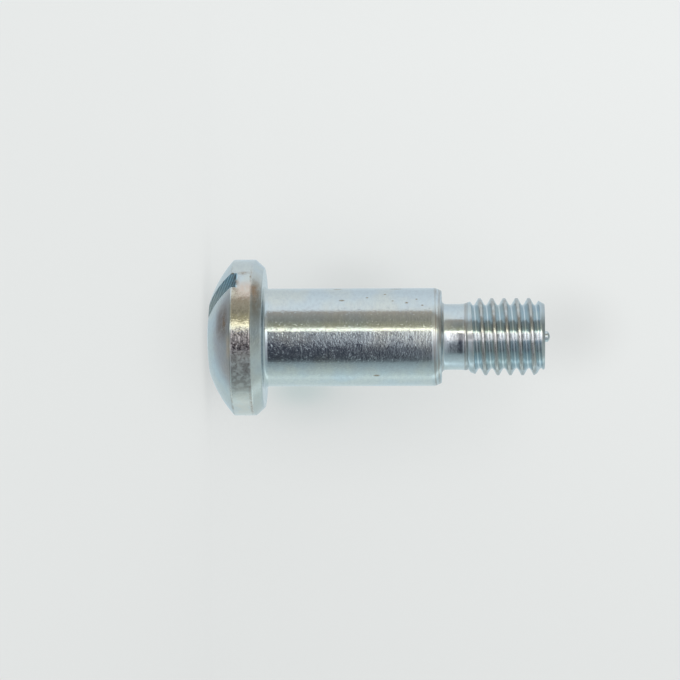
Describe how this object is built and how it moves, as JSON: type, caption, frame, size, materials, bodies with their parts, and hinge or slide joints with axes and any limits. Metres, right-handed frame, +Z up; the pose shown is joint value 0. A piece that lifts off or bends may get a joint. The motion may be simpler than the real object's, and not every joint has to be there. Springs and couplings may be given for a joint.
{
  "type": "shoulder bolt",
  "caption": "Steel shoulder bolt with a slotted domed head, a plain cylindrical shoulder, a relief neck and a short metric thread, standing on its head.",
  "frame": {"origin": "on the floor, under the middle of the head that the bolt stands on", "axes": "+Z up along the bolt's own axis, from the head to the threaded tip, -Y towards the side that the picture shows"},
  "size_m": [0.0158, 0.0159, 0.0348],
  "materials": {
    "zinc_plate": "turned steel with bright blue-passivated zinc plate, satin with fine lathe marks, lightly pitted on the head's rim"
  },
  "bodies": {
    "root": {"shoulder_bolt": "zinc_plate"}
  },
  "joints": []
}
